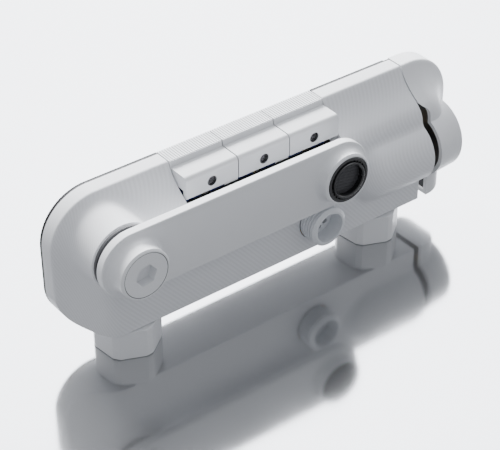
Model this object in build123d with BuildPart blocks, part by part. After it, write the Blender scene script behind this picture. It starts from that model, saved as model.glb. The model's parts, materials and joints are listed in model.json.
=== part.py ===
from build123d import *
from math import acos, cos, hypot, radians
import os

os.makedirs("parts", exist_ok=True)

# Wall-mounted bath and shower mixer, lying on its wall side on its two inlet nuts.
# X runs along the mixer, Y towards its shelf side, Z away from the wall. Millimetres.

# Supply connections
inlet_spacing = 150.0
nut_across_flats = 30.0
nut_height = 16.1
nut_turn = 37.0
nut_turned_r = 16.4
nut_edge = 0.6
nut_thread_r = 12.06
nut_thread_depth = 7.2
nut_relief = 0.4
nut_shoulder = 2.0
spigot_r = 10.0
spigot_bore_r = 7.0
spigot_flange_r = 11.6
spigot_flange_height = 2.0
washer_height = 2.0
free_gap = 0.35

# Casing, measured from the point midway between the inlets
casing_left_reach = 109.6
casing_right_reach = 97.5
casing_lift = 0.5
casing_height = 70.2
back_reach = 15.3
front_reach = 13.8
rim_depth = 10.1
casing_wall = 2.2
corner_top_r = 25.5
corner_bottom_r = 21.9
slope_to_corner = 0.7
slope_mid_down = 12.0
slope_mid_out = 9.8
edge_round = 1.6

# Shelf plate on the back of the casing
plate_edge = 0.7
plate_inset = 1.7
plate_end_gap = 3.0
riser_thread_r = 9.32
riser_thread_depth = 8.5
riser_socket_r = 11.6
riser_socket_wall = 2.2
riser_bore_r = 5.0
riser_seat_back = 6.5
riser_feed_r = 3.5

# Cartridge bulge and lever cap, measured from the casing's right end
lever_axis_back = -3.6
lever_axis_up = 28.0
bulge_back = -7.2
bulge_up = 28.8
bulge_r = 17.3
bulge_root_r = 5.0
bulge_blend = 4.5
bulge_start = 51.5
bulge_full = 30.5
lever_length = 32.5
lobe_length = 22.5
lobe_end_r = 19.35
lobe_end_back = -2.0
lobe_end_up = 0.3
lobe_end_round = 1.6
lever_bottom_r = 26.5
lever_wall = 2.2
lever_gap_top = 0.8
lever_gap_bottom = 5.5
lever_gap_turn_down = 13.5
lever_gap_turn_height = 7.5
carrier_behind_rim = 1.0
carrier_thickness = 3.0
hub_r = 8.0
hub_ahead = 3.0

# Mixing cartridge
cartridge_r = 12.5
cartridge_length = 30.0
housing_r = 14.4
housing_length = 36.5
housing_end_back = 1.5
cartridge_seat = 3.7
cartridge_nut_height = 4.0
stem_side = 7.0
stem_shaft_r = 3.4
stem_in_cartridge = 10.0
stem_end_gap = 6.1
grub_from_stem_end = 2.8

# Piano keys
key_count = 3
key_pitch = 30.45
keys_middle = 1.3
key_gap = 0.6
key_wall = 2.0
key_step = 3.0
key_ledge_front = 7.8
key_front_height = 14.5
key_front_round = 2.4
key_travel = 3.5
key_rib_pitch = 1.4
key_rib_height = 0.45
key_screw_drop = 10.0
key_screw_r = 2.3
key_hole_r = 2.65
well_floor_drop = 20.5

# Push valves under the keys
valve_back = 3.0
valve_head_width = 22.0
valve_head_ahead = 5.0
valve_head_behind = 9.3
valve_head_top_drop = 16.8
valve_head_height = 13.0
plunger_r = 3.0
piston_r = 6.72
piston_height = 3.8
chamber_r = 6.8
chamber_wall = 2.2
spring_mean_r = 4.4
spring_wire = 0.9
spring_turns = 6
spring_well_r = 5.6

# Spout
pivot_from_left = 24.6
pivot_from_top = 23.0
pivot_boss_height = 3.5
pivot_boss_r = 17.2
pivot_boss_base_r = 19.5
pivot_boss_blend = 9.0
bar_gap = 2.9
bar_thickness = 4.8
bar_half_width = 17.2
spout_length = 119.0
plug_boss_height = 9.5
plug_boss_r = 13.1
plug_r = 11.7
plug_depth = 6.0
plug_hex = 10.0
plug_hex_depth = 4.6
outlet_boss_height = 6.2
outlet_boss_r = 13.6
boss_flare = 4.5
waterway_width = 16.0
waterway_height = 2.2
pivot_shaft_r = 8.5
pivot_bore_r = 5.0
bush_wall = 1.5
running_gap = 0.05
aerator_r = 12.1
aerator_depth = 8.5
aerator_wall = 1.6
mesh_recess = 2.2
mesh_thickness = 1.4
mesh_pitch = 2.1
mesh_cell_r = 0.85

# Hose outlet, G 1/2 male
outlet_right = 29.5
outlet_up = 16.8
outlet_length = 10.4
outlet_crest_r = 10.48
outlet_root_r = 9.35
outlet_bore_r = 7.9
outlet_pitch = 1.814
outlet_gap = 0.3
outlet_lead = 1.2
outlet_shank_r = 8.85
outlet_boss_wall = 2.4
outlet_boss_reach = 9.0
check_valve_length = 6.5
check_valve_wall = 1.4
check_valve_floor = 2.0
check_valve_ring_r = 4.2
check_valve_hole_r = 1.5

# Valve body
gallery_back = 0.5
gallery_up = 29.4
gallery_r = 9.0
gallery_bore_r = 5.5
port_r = 8.0
inlet_boss_r = 11.4
screw_r = 2.0
screw_head_r = 3.4
screw_length = 9.0
post_r = 4.2
lug_thickness = 3.0

# Places worked out from the sizes above
plug_reach = front_reach + pivot_boss_height + bar_gap + bar_thickness + plug_boss_height
mid_x = (casing_left_reach - casing_right_reach - lever_length) / 2
nut_corner_r = nut_across_flats / 2 / cos(radians(30))
nut_turned_half = radians(30) - acos(nut_across_flats / 2 / nut_turned_r)
nut_back_reach = nut_turned_r * cos(max(0, radians(nut_turn - 30) - nut_turned_half))
mid_y = (plug_reach - nut_back_reach) / 2
left_x = mid_x - casing_left_reach
right_x = mid_x + casing_right_reach
bottom_z = nut_height + casing_lift
top_z = bottom_z + casing_height
back_y = mid_y + back_reach
casing_back_y = back_y - plate_edge
rim_y = back_y - rim_depth
front_y = mid_y - front_reach
inlet_x = (mid_x - inlet_spacing / 2, mid_x + inlet_spacing / 2)
lever_y = mid_y + lever_axis_back
lever_z = bottom_z + lever_axis_up
bulge_y = mid_y + bulge_back
bulge_z = bottom_z + bulge_up
lever_end_x = right_x + lever_length
lobe_end_x = right_x + lobe_length
housing_x = right_x - housing_length
pivot_x = left_x + pivot_from_left
pivot_z = top_z - pivot_from_top
bar_back_y = front_y - pivot_boss_height - bar_gap
bar_front_y = bar_back_y - bar_thickness
plug_front_y = bar_front_y - plug_boss_height
aerator_x = pivot_x + spout_length
aerator_front_y = bar_front_y - outlet_boss_height
outlet_x = mid_x + outlet_right
outlet_z = bottom_z + outlet_up
gallery_y = mid_y + gallery_back
gallery_z = bottom_z + gallery_up
boss_face_y = mid_y - outlet_boss_reach
outlet_base_y = front_y - outlet_length
riser_seat_y = mid_y + riser_seat_back
key_x = [mid_x + keys_middle + (i - (key_count - 1) / 2) * key_pitch for i in range(key_count)]
keys_left_x = key_x[0] - key_pitch / 2
keys_right_x = key_x[-1] + key_pitch / 2
key_front_y = mid_y - key_ledge_front
key_bottom_z = top_z - key_front_height
valve_y = mid_y + valve_back
well_floor_z = top_z - well_floor_drop
valve_top_z = top_z - valve_head_top_drop
valve_seat_z = valve_top_z - valve_head_height
plate_inner_y = casing_back_y - plate_inset
inlet_top_z = outlet_z - 3.4
piston_room = piston_height + key_travel + 2.2
BACK, FRONT, UP, DOWN, RIGHT, LEFT = (
    (0, 1, 0), (0, -1, 0), (0, 0, 1), (0, 0, -1), (1, 0, 0), (-1, 0, 0))
KEY_NAMES = ("left", "middle", "right")


def rod(x, y, z, radius, length, direction, mode=Mode.ADD):
    """Round bar that starts at a point and runs along a direction."""
    with Locations(Plane(origin=(x, y, z), z_dir=direction)):
        Cylinder(radius, length, align=(Align.CENTER, Align.CENTER, Align.MIN), mode=mode)


def block(x_from, x_to, y_from, y_to, z_from, z_to, mode=Mode.ADD):
    """Plain block between two corners."""
    with Locations(((x_from + x_to) / 2, (y_from + y_to) / 2, (z_from + z_to) / 2)):
        Box(x_to - x_from, y_to - y_from, z_to - z_from, mode=mode)


def finish(part, label):
    """Name a finished piece and write it."""
    part.label = label
    export_step(part, f"parts/{label}.step")


def outline_sketch(inset, x_to):
    """Casing outline seen from the front, with its two round left corners."""
    with BuildSketch(Plane.XZ.offset(-casing_back_y)) as outline:
        x_from = left_x + inset
        z_from, z_to = bottom_z + inset, top_z - inset
        with Locations(((x_from + x_to) / 2, (z_from + z_to) / 2)):
            Rectangle(x_to - x_from, z_to - z_from)
        left_corners = outline.vertices().group_by(Axis.X)[0].sort_by(Axis.Y)
        fillet(left_corners[-1], corner_top_r - inset)
        left_corners = outline.vertices().group_by(Axis.X)[0].sort_by(Axis.Y)
        fillet(left_corners[0], corner_bottom_r - inset)
    return outline.sketch


def slope_face(plane, inset, edge, inward):
    """Face in front of the sloped band; the plane's x is Y, its y starts at the edge."""
    rim = rim_y + inset
    front = front_y + inset
    slope_end = corner_top_r - slope_to_corner + 0.15 * inset
    with BuildSketch(plane) as face:
        with BuildLine():
            points = [
                (rim + edge_round, edge + inward * inset),
                (rim - 0.5 * edge_round, edge + inward * (inset + 1.2 * edge_round)),
                (rim - slope_mid_out, edge + inward * (inset + slope_mid_down)),
                (front, edge + inward * slope_end),
            ]
            Spline(*points, tangents=[(-1, 0), (0, inward)])
            Polyline(points[-1], (front - 4, points[-1][1]), (front - 4, edge - 3 * inward),
                     (points[0][0], edge - 3 * inward), points[0])
        make_face()
    return face.sketch


def bulge_form(inset, x_to):
    """Front half of the round housing over the cartridge, faded out towards the left."""
    radius, root = bulge_r - inset, bulge_root_r - inset
    start_x, full_x = right_x - bulge_start + inset, right_x - bulge_full + inset
    with BuildSketch(Plane.XZ.offset(-bulge_y)) as profile:
        with BuildLine():
            Polyline((full_x, bulge_z + radius), (x_to, bulge_z + radius), (x_to, bulge_z),
                     (start_x, bulge_z), (start_x, bulge_z + root))
            Spline((start_x, bulge_z + root), (full_x, bulge_z + radius),
                   tangents=[(1, 0.35), (1, 0)])
        make_face()
    with BuildPart() as bulge:
        revolve(profile.sketch, axis=Axis((0, bulge_y, bulge_z), RIGHT), revolution_arc=180)
    return bulge.part


def casing_form(inset, x_to):
    """Outside of the casing, or its hollow when drawn in: block, sloped band and bulge."""
    front = front_y + inset
    corner_x = left_x + corner_top_r
    corner_z = top_z - corner_top_r
    top_face = slope_face(Plane.YZ.offset(corner_x), inset, top_z, -1)
    side_plane = Plane(origin=(0, 0, corner_z), x_dir=BACK, z_dir=DOWN)
    with BuildPart() as form:
        extrude(outline_sketch(inset, x_to), amount=casing_back_y - front)
        extrude(top_face, amount=x_to - corner_x + 5, mode=Mode.SUBTRACT)
        revolve(top_face, axis=Axis((corner_x, 0, corner_z), FRONT), revolution_arc=90,
                mode=Mode.SUBTRACT)
        extrude(slope_face(side_plane, inset, left_x, 1), amount=corner_z, mode=Mode.SUBTRACT)
        add(bulge_form(inset, x_to))
        fillet(form.edges(Select.NEW), bulge_blend + inset)
    return form.part


def flare_profile(x, z, y_root, y_rim, rim_r, root_r, y_inside):
    """Half section of a round boss whose side spreads out in a hollow curve to its root."""
    with BuildSketch(Plane.XY.offset(z)) as profile:
        with BuildLine():
            Spline((x + root_r, y_root), (x + rim_r, y_rim + 0.8), tangents=[(-1, -0.05), (0, -1)])
            Polyline((x + rim_r, y_rim + 0.8), (x + rim_r - 0.8, y_rim), (x, y_rim), (x, y_inside),
                     (x + root_r, y_inside), (x + root_r, y_root))
        make_face()
    return profile.sketch


def flare(x, z, y_root, y_rim, rim_r, root_r, y_inside):
    """Round boss whose side spreads out in a hollow curve to its root."""
    with BuildPart() as boss:
        revolve(flare_profile(x, z, y_root, y_rim, rim_r, root_r, y_inside), axis=Axis((x, 0, z), BACK))
    return boss.part


# Casing
boss_rim_y = front_y - pivot_boss_height
sleeve_r = pivot_shaft_r + running_gap
bush_r = sleeve_r + bush_wall
pivot_room_r = pivot_shaft_r + 4.0
post_places = [(mid_x - 48.5, bottom_z + 13.5), (mid_x - 54.0, top_z - 24.8), (mid_x + 51.5, bottom_z + 11.5)]
well_left_x = keys_left_x - key_gap / 2
well_right_x = keys_right_x + key_gap / 2
valve_front_y = valve_y - valve_head_ahead
valve_back_y = valve_y + valve_head_behind
rib_half = (key_pitch - valve_head_width) / 2 - free_gap
boss_base_y = rim_y + 2
with BuildPart() as pivot_boss:
    with BuildSketch(Plane.XY.offset(pivot_z)) as boss_profile:
        with BuildLine():
            Spline((pivot_x + pivot_boss_base_r, boss_base_y), (pivot_x + pivot_boss_r, boss_rim_y + 0.8),
                   tangents=[(-0.15, -1), (0, -1)])
            Polyline((pivot_x + pivot_boss_r, boss_rim_y + 0.8), (pivot_x + pivot_boss_r - 0.8, boss_rim_y),
                     (pivot_x, boss_rim_y), (pivot_x, boss_base_y),
                     (pivot_x + pivot_boss_base_r, boss_base_y))
        make_face()
    revolve(boss_profile.sketch, axis=Axis((pivot_x, 0, pivot_z), BACK))
with BuildPart() as outside:
    add(casing_form(0, right_x))
    add(pivot_boss.part)
    fillet(outside.edges(Select.NEW), pivot_boss_blend)
with BuildPart() as hollow:
    add(casing_form(casing_wall, right_x - casing_wall))
    block(well_left_x - casing_wall, well_right_x + casing_wall, front_y - 5, back_y + 1,
          well_floor_z - casing_wall, top_z + 5, mode=Mode.SUBTRACT)
    for x, z in post_places:
        rod(x, gallery_y - lug_thickness, z, post_r, 30, FRONT, mode=Mode.SUBTRACT)
with BuildPart() as casing:
    add(outside.part)
    add(hollow.part, mode=Mode.SUBTRACT)
    block(well_left_x, well_right_x, front_y - 5, back_y + 1, well_floor_z, top_z + 5,
          mode=Mode.SUBTRACT)
    for a, b in zip(key_x, key_x[1:]):
        block((a + b) / 2 - rib_half, (a + b) / 2 + rib_half, valve_front_y, valve_back_y - 2,
              well_floor_z - 1, valve_top_z + 2)
    for x in key_x:
        block(x - valve_head_width / 2 - free_gap, x + valve_head_width / 2 + free_gap,
              valve_front_y - free_gap, back_y + 1, well_floor_z - 5, well_floor_z + 1,
              mode=Mode.SUBTRACT)
    rod(pivot_x, back_y, pivot_z, pivot_room_r, back_y - front_y - casing_wall, FRONT, mode=Mode.SUBTRACT)
    rod(pivot_x, back_y, pivot_z, bush_r + 0.02, back_y - boss_rim_y + 1, FRONT, mode=Mode.SUBTRACT)
    rod(outlet_x, gallery_y, outlet_z, outlet_crest_r + free_gap, gallery_y - front_y + 1, FRONT,
        mode=Mode.SUBTRACT)
    rod(right_x - casing_wall - 1, lever_y, lever_z, housing_r + free_gap, casing_wall + 2, RIGHT,
        mode=Mode.SUBTRACT)
    for x in inlet_x:
        rod(x, mid_y, bottom_z - 2, spigot_r + 1.5, 10, UP, mode=Mode.SUBTRACT)
    for x, z in post_places:
        rod(x, gallery_y, z, screw_r + 0.02, screw_length + 0.3, FRONT, mode=Mode.SUBTRACT)
finish(casing.part, "casing")

# Shelf plate with its thin edge, its notch for the keys and its opening for the riser
plate_right_x = right_x - plate_end_gap
notch_z = well_floor_z + 1.4
with BuildPart() as shelf_plate:
    extrude(outline_sketch(0, plate_right_x), amount=-plate_edge)
    extrude(outline_sketch(casing_wall + free_gap, plate_right_x - casing_wall), amount=plate_inset)
    block(well_left_x, well_right_x, plate_inner_y - 1, back_y + 1, notch_z, top_z + 1, mode=Mode.SUBTRACT)
    block(well_left_x - casing_wall - free_gap, well_right_x + casing_wall + free_gap, plate_inner_y - 1,
          casing_back_y, well_floor_z - casing_wall - free_gap, top_z + 1, mode=Mode.SUBTRACT)
    rod(mid_x, back_y + 1, outlet_z, riser_socket_r + free_gap, back_y + 2 - plate_inner_y, FRONT,
        mode=Mode.SUBTRACT)
finish(shelf_plate.part, "shelf_plate")

# Valve body
block_front_y = mid_y + 0.5
block_back_y = plate_inner_y - 0.5
chamber_outer_r = chamber_r + chamber_wall
shaft_end_y = block_back_y - 1.0
feed_y = (block_front_y + shaft_end_y) / 2
inlet_boss_z = bottom_z + casing_wall + 1.5
with BuildPart() as valve_body:
    rod(pivot_x - 3, gallery_y, gallery_z, gallery_r, housing_x - pivot_x + 3, RIGHT)
    rod(housing_x, lever_y, lever_z, housing_r, housing_length - housing_end_back, RIGHT)
    rod(pivot_x, gallery_y, gallery_z, port_r, pivot_z - gallery_z, UP)
    rod(pivot_x, block_back_y, pivot_z, sleeve_r + 2.0, block_back_y - block_front_y, FRONT)
    for x in inlet_x:
        rod(x, mid_y, inlet_boss_z, inlet_boss_r, gallery_z - inlet_boss_z, UP)
    rod(outlet_x, gallery_y + gallery_r, outlet_z, outlet_root_r + outlet_boss_wall,
        gallery_y + gallery_r - boss_face_y, FRONT)
    rod(mid_x, block_back_y, outlet_z, riser_socket_r + riser_socket_wall, block_back_y - mid_y, FRONT)
    for x in key_x:
        rod(x, valve_y, gallery_z, chamber_outer_r, valve_seat_z - gallery_z, UP)
    for x, z in post_places:
        block(x - post_r, x + post_r, gallery_y - lug_thickness, gallery_y, min(z, gallery_z),
              max(z, gallery_z))
        rod(x, gallery_y, z, post_r, lug_thickness, FRONT)
    # Waterways
    rod(pivot_x, gallery_y, gallery_z, gallery_bore_r, housing_x + 2 - pivot_x, RIGHT, mode=Mode.SUBTRACT)
    rod(housing_x + cartridge_seat - 0.2, lever_y, lever_z, cartridge_r + running_gap, housing_length, RIGHT,
        mode=Mode.SUBTRACT)
    rod(housing_x + 1, gallery_y, gallery_z, gallery_bore_r - 1, cartridge_seat, RIGHT, mode=Mode.SUBTRACT)
    rod(pivot_x, feed_y, gallery_z, 2.6, pivot_z - gallery_z, UP, mode=Mode.SUBTRACT)
    rod(pivot_x, shaft_end_y + 0.4, pivot_z, sleeve_r, shaft_end_y + 0.4 - front_y, FRONT, mode=Mode.SUBTRACT)
    for x in inlet_x:
        rod(x, mid_y, bottom_z - 1, spigot_r + 0.02, inlet_top_z - bottom_z + 1, UP, mode=Mode.SUBTRACT)
        rod(x, mid_y, inlet_top_z - 1, spigot_bore_r - 2, 4, UP, mode=Mode.SUBTRACT)
    rod(inlet_x[0], mid_y, inlet_top_z, spigot_bore_r - 2, gallery_z - inlet_top_z, UP, mode=Mode.SUBTRACT)
    rod(outlet_x, gallery_y, outlet_z, outlet_shank_r + running_gap, gallery_y - boss_face_y + 1, FRONT,
        mode=Mode.SUBTRACT)
    rod(outlet_x, gallery_y - 1, outlet_z, riser_feed_r, gallery_z - outlet_z, UP, mode=Mode.SUBTRACT)
    rod(mid_x, block_back_y + 1, outlet_z, riser_socket_r + 0.02, block_back_y + 1.2 - riser_seat_y, FRONT,
        mode=Mode.SUBTRACT)
    rod(mid_x, riser_seat_y, outlet_z, riser_bore_r, riser_bore_r, FRONT, mode=Mode.SUBTRACT)
    rod(mid_x, riser_seat_y - riser_bore_r / 2, outlet_z, riser_feed_r, gallery_z - outlet_z, UP,
        mode=Mode.SUBTRACT)
    for x in key_x:
        rod(x, valve_y, valve_seat_z + 1, chamber_r, piston_room, DOWN, mode=Mode.SUBTRACT)
    for x, z in post_places:
        rod(x, gallery_y + 1, z, screw_r + 0.1, lug_thickness + 2, FRONT, mode=Mode.SUBTRACT)
finish(valve_body.part, "valve_body")

# Riser socket behind the shelf plate
with BuildPart() as riser_socket:
    rod(mid_x, back_y, outlet_z, riser_socket_r, back_y - riser_seat_y, FRONT)
    rod(mid_x, back_y, outlet_z, riser_thread_r, riser_thread_depth, FRONT, mode=Mode.SUBTRACT)
    rod(mid_x, back_y, outlet_z, riser_bore_r, back_y - riser_seat_y + 1, FRONT, mode=Mode.SUBTRACT)
finish(riser_socket.part, "riser_socket")

# Inlet spigots, washers and union nuts
washer_z = nut_thread_depth + 0.2
flange_z = washer_z + washer_height
nut_seat_z = flange_z + spigot_flange_height + 0.2
for side, x in zip(("left", "right"), inlet_x):
    with BuildPart() as inlet_spigot:
        rod(x, mid_y, flange_z, spigot_r, inlet_top_z - flange_z, UP)
        rod(x, mid_y, flange_z, spigot_flange_r, spigot_flange_height, UP)
        rod(x, mid_y, flange_z, spigot_bore_r, inlet_top_z - flange_z, UP, mode=Mode.SUBTRACT)
    finish(inlet_spigot.part, f"inlet_spigot_{side}")
    with BuildPart() as inlet_washer:
        rod(x, mid_y, washer_z, spigot_flange_r, washer_height, UP)
        rod(x, mid_y, washer_z, spigot_bore_r, washer_height, UP, mode=Mode.SUBTRACT)
    finish(inlet_washer.part, f"inlet_washer_{side}")
    with BuildPart() as union_nut:
        with BuildSketch(Plane.XY):
            with Locations((x, mid_y)):
                RegularPolygon(nut_corner_r, 6, rotation=nut_turn)
        extrude(amount=nut_height)
        with BuildSketch(Plane(origin=(x, mid_y, 0), x_dir=RIGHT, z_dir=FRONT)) as nut_turned:
            with BuildLine():
                Polyline((0, 0), (nut_turned_r - nut_edge, 0), (nut_turned_r, nut_edge),
                         (nut_turned_r, nut_height - nut_edge), (nut_turned_r - nut_edge, nut_height),
                         (0, nut_height), (0, 0))
            make_face()
        revolve(axis=Axis((x, mid_y, 0), UP), mode=Mode.INTERSECT)
        chamfer(union_nut.faces().sort_by(Axis.Z)[0].edges().filter_by(GeomType.LINE), 0.4)
        rod(x, mid_y, 0, nut_thread_r, nut_seat_z, UP, mode=Mode.SUBTRACT)
        rod(x, mid_y, nut_thread_depth, nut_thread_r + nut_relief, nut_seat_z - nut_thread_depth, UP,
            mode=Mode.SUBTRACT)
        rod(x, mid_y, 0, spigot_r + free_gap, nut_height, UP, mode=Mode.SUBTRACT)
    finish(union_nut.part, f"union_nut_{side}")

# Hose outlet with its ring thread, and the check valve in it
with BuildPart() as hose_outlet:
    with BuildSketch(Plane.XY.offset(outlet_z)):
        with BuildLine():
            turns = int((outlet_length - outlet_gap - outlet_lead) / outlet_pitch)
            points = [(outlet_x, gallery_y), (outlet_x + outlet_shank_r, gallery_y),
                      (outlet_x + outlet_shank_r, boss_face_y), (outlet_x + outlet_root_r, boss_face_y),
                      (outlet_x + outlet_root_r, front_y - outlet_gap)]
            for i in range(turns):
                y = front_y - outlet_gap - i * outlet_pitch
                points += [(outlet_x + outlet_crest_r, y),
                           (outlet_x + outlet_crest_r, y - 0.4 * outlet_pitch),
                           (outlet_x + outlet_root_r, y - 0.65 * outlet_pitch),
                           (outlet_x + outlet_root_r, y - 0.8 * outlet_pitch)]
            points += [(outlet_x + outlet_crest_r, front_y - outlet_gap - turns * outlet_pitch),
                       (outlet_x + outlet_crest_r, outlet_base_y + outlet_lead),
                       (outlet_x + outlet_shank_r, outlet_base_y), (outlet_x, outlet_base_y),
                       (outlet_x, gallery_y)]
            Polyline(*points)
        make_face()
    revolve(axis=Axis((outlet_x, 0, outlet_z), BACK))
    rod(outlet_x, gallery_y + 1, outlet_z, outlet_bore_r, gallery_y - outlet_base_y + 2, FRONT,
        mode=Mode.SUBTRACT)
finish(hose_outlet.part, "hose_outlet")
with BuildPart() as check_valve:
    rod(outlet_x, boss_face_y, outlet_z, outlet_bore_r - running_gap, check_valve_length, FRONT)
    rod(outlet_x, boss_face_y, outlet_z, outlet_bore_r - check_valve_wall,
        check_valve_length - check_valve_floor, FRONT, mode=Mode.SUBTRACT)
    with Locations(Plane(origin=(outlet_x, boss_face_y, outlet_z), z_dir=FRONT)):
        with PolarLocations(check_valve_ring_r, 6):
            Cylinder(check_valve_hole_r, check_valve_length, mode=Mode.SUBTRACT,
                     align=(Align.CENTER, Align.CENTER, Align.MIN))
finish(check_valve.part, "check_valve")

# Spout pivot: hollow shaft, its bush, circlip and seals
shaft_front_y = plug_front_y + plug_depth + 0.2
seal_width = 1.5
seal_inner_r = pivot_shaft_r - 1.1
seal_places = (block_front_y + 1.0, shaft_end_y - 1.0 - seal_width)
bush_end_y = front_y + casing_wall + 0.4
clip_y = bush_end_y + 0.2
clip_height = 1.0
with BuildPart() as spout_pivot:
    rod(pivot_x, shaft_end_y, pivot_z, pivot_shaft_r, shaft_end_y - shaft_front_y, FRONT)
    rod(pivot_x, shaft_end_y - 4.5, pivot_z, pivot_bore_r, shaft_end_y - 4.5 - shaft_front_y - 2, FRONT,
        mode=Mode.SUBTRACT)
    for y in seal_places:
        with BuildSketch(Plane.XZ.offset(-y - seal_width - 0.1)):
            with Locations((pivot_x, pivot_z)):
                Circle(pivot_shaft_r + 1)
                Circle(seal_inner_r - 0.05, mode=Mode.SUBTRACT)
        extrude(amount=seal_width + 0.2, mode=Mode.SUBTRACT)
    with BuildSketch(Plane.XZ.offset(-clip_y - clip_height - 0.05)):
        with Locations((pivot_x, pivot_z)):
            Circle(pivot_shaft_r + 1)
            Circle(pivot_shaft_r - 0.85, mode=Mode.SUBTRACT)
    extrude(amount=clip_height + 0.1, mode=Mode.SUBTRACT)
    with Locations(Plane(origin=(pivot_x, feed_y, pivot_z), z_dir=FRONT)):
        with PolarLocations(pivot_shaft_r - 2, 3):
            Cylinder(1.3, 8, rotation=(0, 90, 0), mode=Mode.SUBTRACT)
    rod(pivot_x, bar_back_y - bar_thickness / 2, pivot_z, 1.1, 12, RIGHT, mode=Mode.SUBTRACT)
finish(spout_pivot.part, "spout_pivot")
for place, y in zip(("outer", "inner"), seal_places):
    with BuildPart() as spout_seal:
        rod(pivot_x, y + seal_width, pivot_z, pivot_shaft_r + 0.02, seal_width, FRONT)
        rod(pivot_x, y + seal_width, pivot_z, seal_inner_r, seal_width, FRONT, mode=Mode.SUBTRACT)
    finish(spout_seal.part, f"spout_seal_{place}")
with BuildPart() as spout_circlip:
    rod(pivot_x, clip_y + clip_height, pivot_z, pivot_shaft_r + 2.4, clip_height, FRONT)
    rod(pivot_x, clip_y + clip_height, pivot_z, pivot_shaft_r - 0.8, clip_height, FRONT, mode=Mode.SUBTRACT)
    block(pivot_x - 20, pivot_x, clip_y - 1, clip_y + clip_height + 1, pivot_z - 1.5, pivot_z + 1.5,
          mode=Mode.SUBTRACT)
finish(spout_circlip.part, "spout_circlip")
with BuildPart() as pivot_bush:
    rod(pivot_x, bush_end_y, pivot_z, bush_r, bush_end_y - boss_rim_y, FRONT)
    rod(pivot_x, boss_rim_y, pivot_z, pivot_boss_r - 3.5, bar_gap / 2, FRONT)
    rod(pivot_x, bush_end_y, pivot_z, sleeve_r, bush_end_y - boss_rim_y + bar_gap, FRONT, mode=Mode.SUBTRACT)
finish(pivot_bush.part, "pivot_bush")

# Spout bar with its two bosses and inner waterway
aerator_seat_y = bar_front_y + 1.2
with BuildPart() as spout_bar:
    with BuildSketch(Plane.XZ.offset(-bar_back_y)):
        with Locations(((pivot_x + aerator_x) / 2, pivot_z)):
            SlotCenterToCenter(spout_length, 2 * bar_half_width)
    extrude(amount=bar_thickness)
    fillet(spout_bar.edges().group_by(Axis.Y)[0], 0.8)
    chamfer(spout_bar.edges().group_by(Axis.Y)[-1], 0.4)
    add(flare(pivot_x, pivot_z, bar_front_y + 0.1, plug_front_y, plug_boss_r, plug_boss_r + boss_flare - 1,
              bar_back_y - 1))
    add(flare(aerator_x, pivot_z, bar_front_y + 0.1, aerator_front_y, outlet_boss_r,
              outlet_boss_r + boss_flare - 1.5, bar_back_y - 1))
    rod(pivot_x, bar_back_y + 1, pivot_z, pivot_shaft_r + 0.02, bar_back_y + 1 - shaft_front_y, FRONT,
        mode=Mode.SUBTRACT)
    rod(pivot_x, shaft_front_y + 0.2, pivot_z, plug_r + 0.05, 10, FRONT, mode=Mode.SUBTRACT)
    rod(aerator_x, aerator_seat_y, pivot_z, aerator_r + 0.05, 20, FRONT, mode=Mode.SUBTRACT)
    block(pivot_x, aerator_x, bar_back_y - bar_thickness / 2 - waterway_height / 2,
          bar_back_y - bar_thickness / 2 + waterway_height / 2, pivot_z - waterway_width / 2,
          pivot_z + waterway_width / 2, mode=Mode.SUBTRACT)
finish(spout_bar.part, "spout_bar")
with BuildPart() as spout_plug:
    rod(pivot_x, plug_front_y + plug_depth, pivot_z, plug_r, plug_depth, FRONT)
    chamfer(spout_plug.edges().group_by(Axis.Y)[0], 0.4)
    with BuildSketch(Plane.XZ.offset(-plug_front_y - plug_hex_depth)):
        with Locations((pivot_x, pivot_z)):
            RegularPolygon(plug_hex / 2, 6, major_radius=False, rotation=10)
    extrude(amount=plug_hex_depth + 1, mode=Mode.SUBTRACT)
finish(spout_plug.part, "spout_plug")

# Aerator: ring, stepped insert with honeycomb mesh, washer
insert_back_y = aerator_seat_y - 1.4
with BuildPart() as aerator_washer:
    rod(aerator_x, aerator_seat_y, pivot_z, aerator_r - 0.1, 1.3, FRONT)
    rod(aerator_x, aerator_seat_y, pivot_z, aerator_r - 3.2, 1.3, FRONT, mode=Mode.SUBTRACT)
finish(aerator_washer.part, "aerator_washer")
with BuildPart() as aerator_shell:
    rod(aerator_x, insert_back_y, pivot_z, aerator_r, insert_back_y - aerator_front_y + 0.2, FRONT)
    chamfer(aerator_shell.edges().group_by(Axis.Y)[0], 0.5)
    rod(aerator_x, insert_back_y, pivot_z, aerator_r - aerator_wall, 20, FRONT, mode=Mode.SUBTRACT)
finish(aerator_shell.part, "aerator_shell")
insert_r = aerator_r - aerator_wall - 0.05
mesh_r = insert_r - 1.5
mesh_front_y = aerator_front_y + mesh_recess
mesh_rows = int(2 * mesh_r / mesh_pitch) // 2 + 1
mesh_cells = []
for row in range(-mesh_rows, mesh_rows + 1):
    for column in range(-mesh_rows, mesh_rows + 1):
        u = (column + 0.5 * (row % 2)) * mesh_pitch
        v = row * mesh_pitch * cos(radians(30))
        if hypot(u, v) < mesh_r - mesh_cell_r - 0.2:
            mesh_cells.append((aerator_x + u, pivot_z + v))
with BuildPart() as aerator_insert:
    rod(aerator_x, insert_back_y, pivot_z, insert_r, insert_back_y - aerator_front_y - 0.8, FRONT)
    rod(aerator_x, mesh_front_y, pivot_z, mesh_r, 5, FRONT, mode=Mode.SUBTRACT)
    rod(aerator_x, insert_back_y, pivot_z, mesh_r, insert_back_y - mesh_front_y - mesh_thickness, FRONT,
        mode=Mode.SUBTRACT)
    with BuildSketch(Plane.XZ.offset(-mesh_front_y - mesh_thickness - 1)):
        with Locations(*mesh_cells):
            RegularPolygon(mesh_cell_r, 6, rotation=30)
    extrude(amount=mesh_thickness + 2, mode=Mode.SUBTRACT)
finish(aerator_insert.part, "aerator_insert")

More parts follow.
